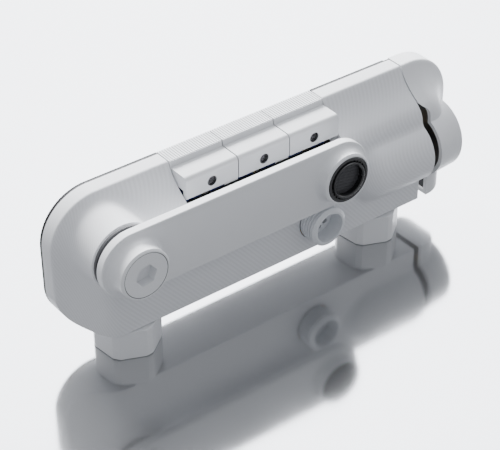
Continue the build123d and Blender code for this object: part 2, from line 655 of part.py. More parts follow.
# Mixing cartridge with its nut, and the stem that leaves it round and ends square
housing_end_x = right_x - housing_end_back
cartridge_x = housing_x + cartridge_seat
nut_x = cartridge_x + cartridge_length - cartridge_nut_height
stem_end_x = lobe_end_x - lever_wall - stem_end_gap
with BuildPart() as mixing_cartridge:
    rod(cartridge_x, lever_y, lever_z, cartridge_r, nut_x - cartridge_x - 0.1, RIGHT)
    rod(cartridge_x, lever_y, lever_z, stem_shaft_r, 4, RIGHT, mode=Mode.SUBTRACT)
    rod(nut_x - stem_in_cartridge - 1, lever_y, lever_z, stem_shaft_r + running_gap, stem_in_cartridge + 2,
        RIGHT, mode=Mode.SUBTRACT)
finish(mixing_cartridge.part, "mixing_cartridge")
with BuildPart() as cartridge_nut:
    rod(nut_x, lever_y, lever_z, cartridge_r, housing_end_x - nut_x, RIGHT)
    rod(nut_x, lever_y, lever_z, stem_side, housing_end_x - nut_x + 1, RIGHT, mode=Mode.SUBTRACT)
finish(cartridge_nut.part, "cartridge_nut")
with BuildPart() as cartridge_stem:
    block(nut_x + 1, stem_end_x, lever_y - stem_side / 2, lever_y + stem_side / 2, lever_z - stem_side / 2,
          lever_z + stem_side / 2)
    chamfer(cartridge_stem.edges().filter_by(Axis.X), 0.6)
    rod(nut_x - stem_in_cartridge, lever_y, lever_z, stem_shaft_r, stem_in_cartridge + 2, RIGHT)
finish(cartridge_stem.part, "cartridge_stem")


def lever_outline(inset):
    """Lever cap seen from the front, with its two round right corners."""
    x_from, x_to = right_x - 5, lever_end_x - inset
    z_from, z_to = bottom_z + inset, top_z - inset
    with BuildSketch(Plane.XZ.offset(-back_y + inset)) as outline:
        with Locations(((x_from + x_to) / 2, (z_from + z_to) / 2)):
            Rectangle(x_to - x_from, z_to - z_from)
        right_corners = outline.vertices().group_by(Axis.X)[-1].sort_by(Axis.Y)
        fillet(right_corners[-1], corner_top_r - inset)
        right_corners = outline.vertices().group_by(Axis.X)[-1].sort_by(Axis.Y)
        fillet(right_corners[0], lever_bottom_r - inset)
    return outline.sketch


def lever_lobe(inset):
    """Round nose of the lever cap in front of the cartridge."""
    with BuildPart() as lobe:
        with BuildSketch(Plane(origin=(right_x, bulge_y, bulge_z), z_dir=RIGHT)):
            Circle(bulge_r - inset)
        with BuildSketch(Plane(origin=(lobe_end_x - inset, mid_y + lobe_end_back, lever_z + lobe_end_up),
                               z_dir=RIGHT)):
            Circle(lobe_end_r - inset)
        loft()
        fillet(lobe.edges().group_by(Axis.X)[-1], lobe_end_round)
        extrude(lever_outline(inset), amount=back_y - inset - bulge_y + bulge_r + 5, mode=Mode.INTERSECT)
    return lobe.part


def lever_form(inset):
    """Outside of the lever cap, or its hollow when drawn in: block, sloped band and nose."""
    corner_x = lever_end_x - corner_top_r
    corner_z = top_z - corner_top_r
    top_face = slope_face(Plane.YZ.offset(right_x - 6), inset, top_z, -1)
    corner_face = slope_face(Plane.YZ.offset(corner_x), inset, top_z, -1)
    side_plane = Plane(origin=(0, 0, corner_z), x_dir=BACK, z_dir=DOWN)
    with BuildPart() as form:
        extrude(lever_outline(inset), amount=back_y - front_y - 2 * inset)
        extrude(top_face, amount=corner_x - right_x + 6, mode=Mode.SUBTRACT)
        revolve(corner_face, axis=Axis((corner_x, 0, corner_z), BACK), revolution_arc=90, mode=Mode.SUBTRACT)
        extrude(slope_face(side_plane, inset, lever_end_x, -1), amount=corner_z, mode=Mode.SUBTRACT)
        add(lever_lobe(inset))
    return form.part


# Lever cap: hollow end piece, close to the casing at the top and open below
grub_x = stem_end_x - grub_from_stem_end
gap_top_z = top_z - lever_gap_turn_down
gap_low_z = gap_top_z - lever_gap_turn_height
with BuildPart() as rim_cut:
    with BuildSketch(Plane.XZ.offset(-back_y - 5)):
        with BuildLine():
            Spline((right_x + lever_gap_top, gap_top_z), (right_x + lever_gap_bottom, gap_low_z),
                   tangents=[(0, -1), (0, -1)])
            Polyline((right_x + lever_gap_bottom, gap_low_z), (right_x + lever_gap_bottom, bottom_z - 5),
                     (right_x - 9, bottom_z - 5), (right_x - 9, top_z + 5),
                     (right_x + lever_gap_top, top_z + 5), (right_x + lever_gap_top, gap_top_z))
        make_face()
    extrude(amount=back_y + 5 - bulge_y + bulge_r + 5)
with BuildPart() as lever_cap:
    add(lever_form(0))
    add(lever_form(lever_wall), mode=Mode.SUBTRACT)
    add(rim_cut.part, mode=Mode.SUBTRACT)
    rod(grub_x, back_y + 1, lever_z, 2.2, lever_wall + 2, FRONT, mode=Mode.SUBTRACT)
finish(lever_cap.part, "lever_cap")

# Carrier inside the lever cap, its hub on the square stem and its grub screw
carrier_x = right_x + lever_gap_bottom + carrier_behind_rim
socket_half = stem_side / 2 + running_gap
with BuildPart() as lever_carrier:
    add(lever_form(lever_wall + free_gap))
    block(carrier_x, carrier_x + carrier_thickness, bulge_y - bulge_r - 1, back_y, bottom_z, top_z,
          mode=Mode.INTERSECT)
    rod(carrier_x - hub_ahead, lever_y, lever_z, hub_r, stem_end_x + 1.5 - carrier_x + hub_ahead, RIGHT)
    block(carrier_x - hub_ahead - 1, stem_end_x + 0.3, lever_y - socket_half, lever_y + socket_half,
          lever_z - socket_half, lever_z + socket_half, mode=Mode.SUBTRACT)
    rod(grub_x, lever_y, lever_z, key_screw_r + 0.02, hub_r + 1, BACK, mode=Mode.SUBTRACT)
finish(lever_carrier.part, "lever_carrier")
with BuildPart() as lever_grub_screw:
    rod(grub_x, lever_y + socket_half, lever_z, key_screw_r, hub_r - stem_side / 2, BACK)
    with BuildSketch(Plane(origin=(grub_x, lever_y + hub_r + running_gap, lever_z), z_dir=FRONT)):
        RegularPolygon(1.25, 6, major_radius=False)
    extrude(amount=2, mode=Mode.SUBTRACT)
finish(lever_grub_screw.part, "lever_grub_screw")

# Piano keys with their set screws, plungers, valve heads and springs
key_half = (key_pitch - key_gap) / 2
key_boss_r = 6.0
key_boss_z = valve_top_z + key_travel + 0.5
screw_z = top_z - key_screw_drop
plunger_top_z = top_z - 5.8
piston_top_z = valve_seat_z - 0.3
spring_seat_z = valve_seat_z + 5.0
ledge_z = top_z - key_step
rib_count = int(2 * key_half / key_rib_pitch)
for name, x in zip(KEY_NAMES, key_x):
    with BuildPart() as key:
        with BuildSketch(Plane.YZ.offset(x - key_half)) as profile:
            with BuildLine():
                Polyline((back_y, key_bottom_z), (back_y, top_z), (rim_y, top_z), (rim_y - 0.8, ledge_z),
                         (key_front_y, ledge_z), (key_front_y, key_bottom_z), (back_y, key_bottom_z))
            make_face()
            fillet(profile.vertices().group_by(Axis.X)[0].sort_by(Axis.Y)[-1], key_front_round)
        extrude(amount=2 * key_half)
        with BuildSketch(Plane.YZ.offset(x - key_half + key_wall)) as inner:
            with BuildLine():
                Polyline((back_y - key_wall, key_bottom_z - 1), (back_y - key_wall, top_z - key_wall),
                         (rim_y + 0.8, top_z - key_wall), (rim_y, ledge_z - key_wall),
                         (key_front_y + key_wall, ledge_z - key_wall),
                         (key_front_y + key_wall, key_bottom_z - 1), (back_y - key_wall, key_bottom_z - 1))
            make_face()
        extrude(amount=2 * (key_half - key_wall), mode=Mode.SUBTRACT)
        rod(x, valve_y, key_boss_z, key_boss_r, ledge_z - 1 - key_boss_z, UP)
        rod(x, key_front_y + 1, screw_z, key_screw_r + 0.45, valve_y - key_front_y - 1, BACK)
        rod(x, valve_y, key_boss_z - 1, plunger_r + 0.02, plunger_top_z + 1.2 - key_boss_z, UP,
            mode=Mode.SUBTRACT)
        rod(x, key_front_y - 1, screw_z, key_screw_r + 0.02, valve_y - key_front_y + 1, BACK,
            mode=Mode.SUBTRACT)
        rod(x, key_front_y - 1, screw_z, key_hole_r, 2.5, BACK, mode=Mode.SUBTRACT)
        for side_x in (x - key_half, x + key_half):
            block(side_x - key_wall - 0.3, side_x + key_wall + 0.3, key_front_y + key_wall + 0.3,
                  back_y - key_wall - 0.3, key_bottom_z - 1, key_bottom_z + key_travel + 0.4,
                  mode=Mode.SUBTRACT)
        with Locations((x, (back_y + rim_y) / 2, top_z)):
            with GridLocations(key_rib_pitch, 0, rib_count, 1):
                Box(key_rib_pitch - 0.8, back_y - rim_y + 4, 2 * key_rib_height, mode=Mode.SUBTRACT)
    finish(key.part, f"key_{name}")
    with BuildPart() as key_screw:
        rod(x, key_front_y + 1.6, screw_z, key_screw_r, valve_y - plunger_r - 0.02 - key_front_y - 1.6, BACK)
        with BuildSketch(Plane(origin=(x, key_front_y + 1.6, screw_z), z_dir=BACK)):
            RegularPolygon(1.25, 6, major_radius=False)
        extrude(amount=2, mode=Mode.SUBTRACT)
    finish(key_screw.part, f"key_screw_{name}")
    with BuildPart() as plunger:
        rod(x, valve_y, piston_top_z, plunger_r, plunger_top_z - piston_top_z, UP)
        rod(x, valve_y, piston_top_z - piston_height, piston_r, piston_height, UP)
    finish(plunger.part, f"plunger_{name}")
    with BuildPart() as valve_head:
        block(x - valve_head_width / 2, x + valve_head_width / 2, valve_front_y, valve_back_y, valve_seat_z,
              valve_top_z)
        chamfer(valve_head.edges().group_by(Axis.Z)[-1], 0.8)
        rod(x, valve_y, valve_seat_z - 1, plunger_r + running_gap, 20, UP, mode=Mode.SUBTRACT)
        rod(x, valve_y, spring_seat_z, spring_well_r, 20, UP, mode=Mode.SUBTRACT)
    finish(valve_head.part, f"valve_head_{name}")
    spring_height = key_boss_z - spring_seat_z - spring_wire - 0.1
    coil = Helix(spring_height / spring_turns, spring_height, spring_mean_r,
                 center=(x, valve_y, spring_seat_z + spring_wire / 2 + 0.05))
    with BuildPart() as return_spring:
        with BuildLine():
            add(coil)
        with BuildSketch(Plane(origin=coil @ 0, z_dir=coil % 0)):
            Circle(spring_wire / 2)
        sweep()
    finish(return_spring.part, f"return_spring_{name}")

# Screws that hold the casing on the valve body
for i, (x, z) in enumerate(post_places, 1):
    with BuildPart() as casing_screw:
        rod(x, gallery_y, z, screw_head_r, 2.2, BACK)
        rod(x, gallery_y, z, screw_r, screw_length, FRONT)
        with BuildSketch(Plane(origin=(x, gallery_y + 2.2, z), z_dir=FRONT)):
            RegularPolygon(1.5, 6, major_radius=False)
        extrude(amount=1.4, mode=Mode.SUBTRACT)
    finish(casing_screw.part, f"casing_screw_{i}")
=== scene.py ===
# %% [markdown]
# A white bath and shower mixer lies on its wall side on a glossy pale table. The solid
# parts come from the imported model, in metres and in one fixed frame, so no piece has to be
# fitted by eye. This script gives every part its finish, adds the small pieces that the
# solids leave out, such as the aerator's fine screen and dark pieces of painted shade round
# the spout's plug, under and between the keys, in the key holes and behind the spout bar,
# and sets light and camera.

# %% Load the solid model
import json
from math import cos, pi, radians, sin

import bmesh
import bpy
from mathutils import Matrix, Vector

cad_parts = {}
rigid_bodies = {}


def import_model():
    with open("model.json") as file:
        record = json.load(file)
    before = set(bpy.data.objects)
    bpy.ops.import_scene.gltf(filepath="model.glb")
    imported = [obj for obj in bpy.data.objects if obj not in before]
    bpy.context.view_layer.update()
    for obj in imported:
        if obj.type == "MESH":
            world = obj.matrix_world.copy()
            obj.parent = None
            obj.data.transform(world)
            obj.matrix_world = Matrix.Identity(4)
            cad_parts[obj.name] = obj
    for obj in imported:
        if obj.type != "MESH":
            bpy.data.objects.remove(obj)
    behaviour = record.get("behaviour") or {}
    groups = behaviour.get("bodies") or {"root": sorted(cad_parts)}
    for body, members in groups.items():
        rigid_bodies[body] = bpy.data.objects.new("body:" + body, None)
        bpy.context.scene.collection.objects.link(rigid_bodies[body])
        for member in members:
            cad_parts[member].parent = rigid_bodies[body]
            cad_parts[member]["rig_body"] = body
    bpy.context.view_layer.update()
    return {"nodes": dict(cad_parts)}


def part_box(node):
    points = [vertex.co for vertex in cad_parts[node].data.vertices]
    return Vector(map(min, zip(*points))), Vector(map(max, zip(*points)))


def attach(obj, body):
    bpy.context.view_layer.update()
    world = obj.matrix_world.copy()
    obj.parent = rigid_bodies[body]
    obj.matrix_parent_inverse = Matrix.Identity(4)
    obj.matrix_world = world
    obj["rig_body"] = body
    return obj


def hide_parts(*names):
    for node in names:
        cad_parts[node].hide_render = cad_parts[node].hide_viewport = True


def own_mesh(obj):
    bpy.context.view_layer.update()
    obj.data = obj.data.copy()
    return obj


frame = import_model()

PLACES = ("left", "middle", "right")
nodes = frame["nodes"]

# %% [markdown]
# A solid arrives as loose triangles. Each part that shows is a copy whose triangles are
# joined first, because loose triangles share no edges and would shade in facets. After
# that, round faces shade smoothly and real edges stay crisp. The solid could take the finish
# itself, but its mesh has to stay as it is, so it would keep its facets.

# %% Joined copies of the solids
SMOOTH_ANGLE = radians(24)
MERGE_DISTANCE = 1e-6


def select_only(obj):
    """Select one object and make it the active one."""
    bpy.ops.object.select_all(action="DESELECT")
    obj.select_set(True)
    bpy.context.view_layer.objects.active = obj


def joined_copy(node, name):
    """A copy of a solid with its triangles joined and its round faces smooth."""
    piece = nodes[node].copy()
    piece.data = nodes[node].data.copy()
    piece.name = name
    piece.data.name = name
    piece.parent = None
    for key in list(piece.keys()):
        del piece[key]
    bpy.context.scene.collection.objects.link(piece)
    select_only(piece)
    if piece.data.has_custom_normals:
        bpy.ops.mesh.customdata_custom_splitnormals_clear()
    bpy.ops.object.mode_set(mode="EDIT")
    bpy.ops.mesh.select_all(action="SELECT")
    bpy.ops.mesh.remove_doubles(threshold=MERGE_DISTANCE)
    bpy.ops.object.mode_set(mode="OBJECT")
    bpy.ops.object.shade_smooth_by_angle(angle=SMOOTH_ANGLE)
    return piece


def dress(node, finish):
    """Show a joined copy of a solid in a finish, riding where the solid rides."""
    piece = joined_copy(node, node + "_shown")
    piece.data.materials.clear()
    piece.data.materials.append(finish)
    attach(piece, nodes[node]["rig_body"])
    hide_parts(node)
    return piece


# %% [markdown]
# Effects that several finishes share are kept as shader node groups with named inputs. The
# same nodes could be repeated in every material, but a group keeps them alike. The first is
# the skin that every moulded, coated or rubber surface has: a slow drift of colour and gloss
# over centimetres, and a fine grain that softens the highlights.

# %% Helpers for node groups
def new_group(name, inputs, outputs):
    """An empty shader node group with its inputs and outputs."""
    tree = bpy.data.node_groups.new(name, "ShaderNodeTree")
    for label, kind, value in inputs:
        socket = tree.interface.new_socket(label, in_out="INPUT", socket_type="NodeSocket" + kind)
        socket.default_value = value
    for label, kind in outputs:
        tree.interface.new_socket(label, in_out="OUTPUT", socket_type="NodeSocket" + kind)
    return tree, tree.nodes.new("NodeGroupInput"), tree.nodes.new("NodeGroupOutput")


def add_math(tree, operation, first, second):
    """A math node; each operand is a number or a socket."""
    node = tree.nodes.new("ShaderNodeMath")
    node.operation = operation
    for socket, operand in zip(node.inputs, (first, second)):
        if isinstance(operand, (int, float)):
            socket.default_value = operand
        else:
            tree.links.new(operand, socket)
    return node.outputs[0]


# %% Skin of moulded, coated and rubber surfaces
CLOUD_SCALE, CLOUD_DETAIL, GRAIN_DETAIL = 45, 4, 2
skin, skin_in, skin_out = new_group(
    "skin",
    [("Vector", "Vector", (0, 0, 0)), ("Color", "Color", (0.8, 0.8, 0.8, 1)), ("Drift", "Float", 0.03),
     ("Roughness", "Float", 0.35), ("Gloss Drift", "Float", 0.06), ("Grain Size", "Float", 0.0004),
     ("Grain Height", "Float", 0.00001)],
    [("Color", "Color"), ("Roughness", "Float"), ("Normal", "Vector")])
cloud = skin.nodes.new("ShaderNodeTexNoise")
cloud.inputs["Scale"].default_value = CLOUD_SCALE
cloud.inputs["Detail"].default_value = CLOUD_DETAIL
skin.links.new(skin_in.outputs["Vector"], cloud.inputs["Vector"])
swing = add_math(skin, "SUBTRACT", cloud.outputs["Fac"], 0.5)
shade = add_math(skin, "ADD", add_math(skin, "MULTIPLY", swing, skin_in.outputs["Drift"]), 1.0)
tint = skin.nodes.new("ShaderNodeVectorMath")
tint.operation = "SCALE"
skin.links.new(skin_in.outputs["Color"], tint.inputs[0])
skin.links.new(shade, tint.inputs["Scale"])
skin.links.new(tint.outputs[0], skin_out.inputs["Color"])
gloss = add_math(skin, "MULTIPLY", swing, skin_in.outputs["Gloss Drift"])
skin.links.new(add_math(skin, "ADD", gloss, skin_in.outputs["Roughness"]), skin_out.inputs["Roughness"])
grain = skin.nodes.new("ShaderNodeTexNoise")
grain.inputs["Detail"].default_value = GRAIN_DETAIL
skin.links.new(skin_in.outputs["Vector"], grain.inputs["Vector"])
skin.links.new(add_math(skin, "DIVIDE", 1.0, skin_in.outputs["Grain Size"]), grain.inputs["Scale"])
relief = skin.nodes.new("ShaderNodeBump")
relief.inputs["Strength"].default_value = 1
skin.links.new(skin_in.outputs["Grain Height"], relief.inputs["Distance"])
skin.links.new(grain.outputs["Fac"], relief.inputs["Height"])
skin.links.new(relief.outputs["Normal"], skin_out.inputs["Normal"])
print("group:", skin.name, "nodes:", len(skin.nodes))

# %% [markdown]
# The casing's mould carries a very fine ribbing that runs slanting over the front and
# bends where the shell swells over the cartridge, as a pattern cut straight through the
# mould does. Real grooves would need millions of faces, so the lines are a mask for a relief
# and for painted shade in the grooves, made of planes of one direction and one pitch. The
# black plate behind has the same kind of mould lines, finer and straight, as relief only.

# %% Mould lines
WAVER_SCALE = 120
lines, lines_in, lines_out = new_group(
    "mould_lines",
    [("Vector", "Vector", (0, 0, 0)), ("Direction", "Vector", (1, 0, 0)), ("Pitch", "Float", 0.002),
     ("Waver", "Float", 0.0002)],
    [("Mask", "Float")])
across = lines.nodes.new("ShaderNodeVectorMath")
across.operation = "DOT_PRODUCT"
lines.links.new(lines_in.outputs["Vector"], across.inputs[0])
lines.links.new(lines_in.outputs["Direction"], across.inputs[1])
drift = lines.nodes.new("ShaderNodeTexNoise")
drift.inputs["Scale"].default_value = WAVER_SCALE
lines.links.new(lines_in.outputs["Vector"], drift.inputs["Vector"])
waver = add_math(lines, "MULTIPLY", drift.outputs["Fac"], lines_in.outputs["Waver"])
phase = add_math(lines, "DIVIDE", add_math(lines, "ADD", across.outputs["Value"], waver),
                 lines_in.outputs["Pitch"])
wave = add_math(lines, "SINE", add_math(lines, "MULTIPLY", phase, 2 * pi), 0)
line_mask = add_math(lines, "ADD", add_math(lines, "MULTIPLY", wave, 0.5), 0.5)
lines.links.new(line_mask, lines_out.inputs["Mask"])
print("group:", lines.name, "nodes:", len(lines.nodes))

# %% [markdown]
# Brass and steel parts are turned or drawn, which leaves faint streaks along the cut. Plain
# noise would look like dust on them, so it is drawn out along one direction, and it varies
# the gloss more than the form.

# %% Tool marks
STREAK_SCALE, STREAK_DETAIL = 300, 3
marks, marks_in, marks_out = new_group(
    "tool_marks",
    [("Vector", "Vector", (0, 0, 0)), ("Stretch", "Vector", (1, 1, 1)), ("Roughness", "Float", 0.3),
     ("Spread", "Float", 0.15), ("Height", "Float", 0.000004)],
    [("Roughness", "Float"), ("Normal", "Vector"), ("Mask", "Float")])
drawn = marks.nodes.new("ShaderNodeVectorMath")
drawn.operation = "MULTIPLY"
marks.links.new(marks_in.outputs["Vector"], drawn.inputs[0])
marks.links.new(marks_in.outputs["Stretch"], drawn.inputs[1])
streak = marks.nodes.new("ShaderNodeTexNoise")
streak.inputs["Scale"].default_value = STREAK_SCALE
streak.inputs["Detail"].default_value = STREAK_DETAIL
marks.links.new(drawn.outputs[0], streak.inputs["Vector"])
spread = add_math(marks, "MULTIPLY", add_math(marks, "SUBTRACT", streak.outputs["Fac"], 0.5),
                  marks_in.outputs["Spread"])
dullness = add_math(marks, "ADD", spread, marks_in.outputs["Roughness"])
marks.links.new(dullness, marks_out.inputs["Roughness"])
scratch = marks.nodes.new("ShaderNodeBump")
marks.links.new(marks_in.outputs["Height"], scratch.inputs["Distance"])
marks.links.new(streak.outputs["Fac"], scratch.inputs["Height"])
marks.links.new(scratch.outputs["Normal"], marks_out.inputs["Normal"])
marks.links.new(streak.outputs["Fac"], marks_out.inputs["Mask"])
print("group:", marks.name, "nodes:", len(marks.nodes))

# %% [markdown]
# The finishes build on those groups. The white parts differ a little: the moulded casing
# is satin, the powder-coated metal of bar, cap and nuts is smoother, and the keys are
# duller than that metal, with painted shade that makes their white a little less bright.

# %% Helpers for the finishes
COAT_ROUGHNESS = 0.12


def new_material(name):
    """A material, its tree, its shader and its object coordinates."""
    material = bpy.data.materials.new(name)
    material.use_nodes = True
    tree = material.node_tree
    coordinates = tree.nodes.new("ShaderNodeTexCoord").outputs["Object"]
    return material, tree, tree.nodes["Principled BSDF"], coordinates


def add_group(tree, group, vector, **values):
    """A group node with its vector linked and its other inputs set by name."""
    node = tree.nodes.new("ShaderNodeGroup")
    node.node_tree = group
    tree.links.new(vector, node.inputs["Vector"])
    for label, value in values.items():
        node.inputs[label.replace("_", " ")].default_value = value
    return node


def add_relief(tree, height, depth, normal):
    """The normal of a relief of some depth that lies over the normal of the skin."""
    bump = tree.nodes.new("ShaderNodeBump")
    bump.inputs["Distance"].default_value = depth
    tree.links.new(height, bump.inputs["Height"])
    tree.links.new(normal, bump.inputs["Normal"])
    return bump.outputs["Normal"]


def skinned(name, colour, roughness, drift=0.03, grain=0.0004, height=0.00001, coat=0.0, specular=0.5):
    """A finish whose colour, gloss and grain come from the skin group."""
    material, tree, shader, vector = new_material(name)
    node = add_group(tree, skin, vector, Color=(*colour, 1), Drift=drift, Roughness=roughness,
                     Grain_Size=grain, Grain_Height=height)
    tree.links.new(node.outputs["Color"], shader.inputs["Base Color"])
    tree.links.new(node.outputs["Roughness"], shader.inputs["Roughness"])
    tree.links.new(node.outputs["Normal"], shader.inputs["Normal"])
    shader.inputs["Coat Weight"].default_value = coat
    shader.inputs["Coat Roughness"].default_value = COAT_ROUGHNESS
    shader.inputs["Specular IOR Level"].default_value = specular
    print("finish:", name)
    return material, tree, shader, node


# %% White finishes
coat_white = skinned("coat_white", (0.80, 0.81, 0.83), 0.34, drift=0.02, height=0.000006, coat=0.15)[0]
# Painted shade: the keys' white is a little less bright than the other whites.
key_white = skinned("key_white", (0.73, 0.74, 0.76), 0.38, drift=0.02, height=0.000008)[0]
thread_white = skinned("thread_white", (0.74, 0.76, 0.79), 0.30, drift=0.05, coat=0.2)[0]

# %% [markdown]
# The casing adds the mould lines to its skin: they are ten microns deep, and painted shade in
# their grooves takes up to 8 percent off the white. Both show on the front and fade out on
# faces that look up.

# %% Casing finish
CASING_LINES = Vector((0.763, -1.17, 0.646))
LINE_PITCH, LINE_DEPTH, LINE_SHADE = 0.00182, 0.00001, 0.08
UP_FADE_FROM, UP_FADE_FULL = 0.6, 0.93
shell_white, tree, shader, base = skinned("shell_white", (0.80, 0.81, 0.835), 0.40, drift=0.025)
shell_vector = tree.nodes["Texture Coordinate"].outputs["Object"]
ribbing = add_group(tree, lines, shell_vector, Direction=CASING_LINES, Pitch=LINE_PITCH)
facing = tree.nodes.new("ShaderNodeSeparateXYZ")
tree.links.new(tree.nodes["Texture Coordinate"].outputs["Normal"], facing.inputs[0])
fade = tree.nodes.new("ShaderNodeMapRange")
fade.inputs["From Min"].default_value = UP_FADE_FULL
fade.inputs["From Max"].default_value = UP_FADE_FROM
tree.links.new(facing.outputs["Z"], fade.inputs["Value"])
ribs = add_math(tree, "MULTIPLY", ribbing.outputs["Mask"], fade.outputs["Result"])
groove_shaded_white = tree.nodes.new("ShaderNodeVectorMath")
groove_shaded_white.operation = "SCALE"
tree.links.new(base.outputs["Color"], groove_shaded_white.inputs[0])
# Painted shade: the white is made up to 8 percent less bright in the grooves of the mould lines.
lightness = add_math(tree, "SUBTRACT", 1.0, add_math(tree, "MULTIPLY", ribs, LINE_SHADE))
tree.links.new(lightness, groove_shaded_white.inputs["Scale"])
tree.links.new(add_relief(tree, ribs, LINE_DEPTH, base.outputs["Normal"]), shader.inputs["Normal"])

# %% [markdown]
# The last millimetre of the casing at its back is a black gasket. It could be a ring of its
# own, but it lies flush with the shell, so a change of colour by depth is enough.

# %% Gasket at the casing's back
GASKET_DEPTH = 0.00095
GASKET_BLACK = (0.008, 0.008, 0.009, 1)
gasket_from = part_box("casing")[1][1] - GASKET_DEPTH
spot = tree.nodes.new("ShaderNodeSeparateXYZ")
tree.links.new(shell_vector, spot.inputs[0])
gasket = tree.nodes.new("ShaderNodeMix")
gasket.data_type = "RGBA"
gasket.inputs["B"].default_value = GASKET_BLACK
tree.links.new(add_math(tree, "GREATER_THAN", spot.outputs["Y"], gasket_from), gasket.inputs["Factor"])
tree.links.new(groove_shaded_white.outputs[0], gasket.inputs["A"])
tree.links.new(gasket.outputs["Result"], shader.inputs["Base Color"])
print("gasket from y =", round(gasket_from * 1000, 2), "mm")

# %% [markdown]
# Dark parts: the plate, the lever's carrier and the pivot bush are moulded in black, the
# aerator is glossy black with a paler screen, the seals are matt rubber, the cartridge is
# grey, and the push valves are navy. The same rubber and inner blacks also colour the
# pieces of painted shade, and a dark grey colours the ring of painted shade behind the
# spout bar.

# %% Dark finishes
inner_black = skinned("inner_black", (0.018, 0.018, 0.02), 0.42, drift=0.3, height=0.00002)[0]
aerator_black = skinned("aerator_black", (0.006, 0.006, 0.007), 0.28, drift=0.3, height=0.000006,
                        coat=0.3)[0]
screen_black = skinned("screen_black", (0.06, 0.06, 0.065), 0.30, drift=0.3)[0]
rubber_and_shade_black = skinned("rubber_and_shade_black", (0.014, 0.014, 0.014), 0.65, drift=0.4, height=0.00003)[0]
# Painted shade: this grey only colours the ring that darkens the gap behind the spout bar.
shade_ring_grey = skinned("shade_ring_grey", (0.07, 0.07, 0.075), 0.45, drift=0.2)[0]
valve_navy = skinned("valve_navy", (0.010, 0.016, 0.075), 0.28, drift=0.2, coat=0.3)[0]
cartridge_grey = skinned("cartridge_grey", (0.28, 0.29, 0.31), 0.42, drift=0.1, height=0.00002)[0]

# %% Plate finish
PLATE_PITCH = 0.0012
plate_black, tree, shader, base = skinned("plate_black", (0.012, 0.012, 0.014), 0.5, drift=0.3,
                                          specular=0.12)
mould = add_group(tree, lines, tree.nodes["Texture Coordinate"].outputs["Object"],
                  Direction=(1.0, 0.0, 0.0), Pitch=PLATE_PITCH)
plate_normal = add_relief(tree, mould.outputs["Mask"], LINE_DEPTH, base.outputs["Normal"])
tree.links.new(plate_normal, shader.inputs["Normal"])


# %% [markdown]
# The metal inside is turned brass and drawn steel. Little of it shows, but the set screws
# in the keys do, and the brass shows from behind.

# %% Metal finishes
def tooled(name, colour, dull, roughness, stretch):
    """Bare metal: the tool marks vary its gloss and shift it towards a duller colour."""
    material, tree, shader, vector = new_material(name)
    node = add_group(tree, marks, vector, Stretch=stretch, Roughness=roughness)
    mix = tree.nodes.new("ShaderNodeMix")
    mix.data_type = "RGBA"
    mix.inputs["A"].default_value = (*colour, 1)
    mix.inputs["B"].default_value = (*dull, 1)
    tree.links.new(node.outputs["Mask"], mix.inputs["Factor"])
    tree.links.new(mix.outputs["Result"], shader.inputs["Base Color"])
    tree.links.new(node.outputs["Roughness"], shader.inputs["Roughness"])
    tree.links.new(node.outputs["Normal"], shader.inputs["Normal"])
    shader.inputs["Metallic"].default_value = 1
    print("finish:", name)
    return material


brass = tooled("brass", (0.78, 0.60, 0.30), (0.60, 0.43, 0.19), 0.30, (1, 6, 6))
steel = tooled("steel", (0.62, 0.62, 0.64), (0.42, 0.42, 0.44), 0.28, (6, 1, 6))

# %% [markdown]
# Every solid now gets the finish of its real material, by name. A solid that the list
# leaves out is brass, such as the valve body inside.

# %% Dress the solids
FINISH = {
    "casing": shell_white, "shelf_plate": plate_black, "lever_cap": coat_white,
    "spout_bar": coat_white, "spout_plug": coat_white, "hose_outlet": thread_white,
    "union_nut_left": coat_white, "union_nut_right": coat_white,
    "aerator_shell": aerator_black, "aerator_insert": aerator_black,
    "pivot_bush": inner_black, "lever_carrier": inner_black, "check_valve": thread_white,
    "aerator_washer": rubber_and_shade_black, "inlet_washer_left": rubber_and_shade_black, "inlet_washer_right": rubber_and_shade_black,
    "spout_seal_inner": rubber_and_shade_black, "spout_seal_outer": rubber_and_shade_black,
    "mixing_cartridge": cartridge_grey,
}
for place in PLACES:
    FINISH["key_" + place] = key_white
    FINISH["valve_head_" + place] = valve_navy
    FINISH["key_screw_" + place] = steel
    FINISH["return_spring_" + place] = steel
for name in ("casing_screw_1", "casing_screw_2", "casing_screw_3", "lever_grub_screw", "spout_circlip"):
    FINISH[name] = steel
shown = {}
for name in sorted(nodes):
    shown[name] = dress(name, FINISH.get(name, brass))
print("dressed:", len(shown))

# %% [markdown]
# A return spring is pressed together when its key goes down. If it rode with the key, it
# would cut into its seat, and if it stood still, into the key. Here each spring's shown copy
# only gets a mesh of its own.

# %% Springs with meshes of their own
for place in PLACES:
    low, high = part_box("return_spring_" + place)
    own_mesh(shown["return_spring_" + place])

# %% [markdown]
# Keys, valve heads and nuts have flat faces that meet at edges broken by a tenth to a
# quarter of a millimetre: a mould or a coat of powder never leaves a knife edge. The broken
# edge is narrow, but it catches the light as a fine pale line, as in the photograph. A bevel
# in the shader would be lost when the model is exported, so the mesh itself is bevelled. The
# flat faces are first joined into whole faces, so that the bevel runs along real edges only.

# %% Broken edges
FLAT_ANGLE, SHARP_ANGLE, ROUND_ANGLE = radians(1), radians(35), radians(40)
KEY_EDGE, VALVE_EDGE, NUT_EDGE = 0.00012, 0.0002, 0.00025
EDGE_STEPS = 2


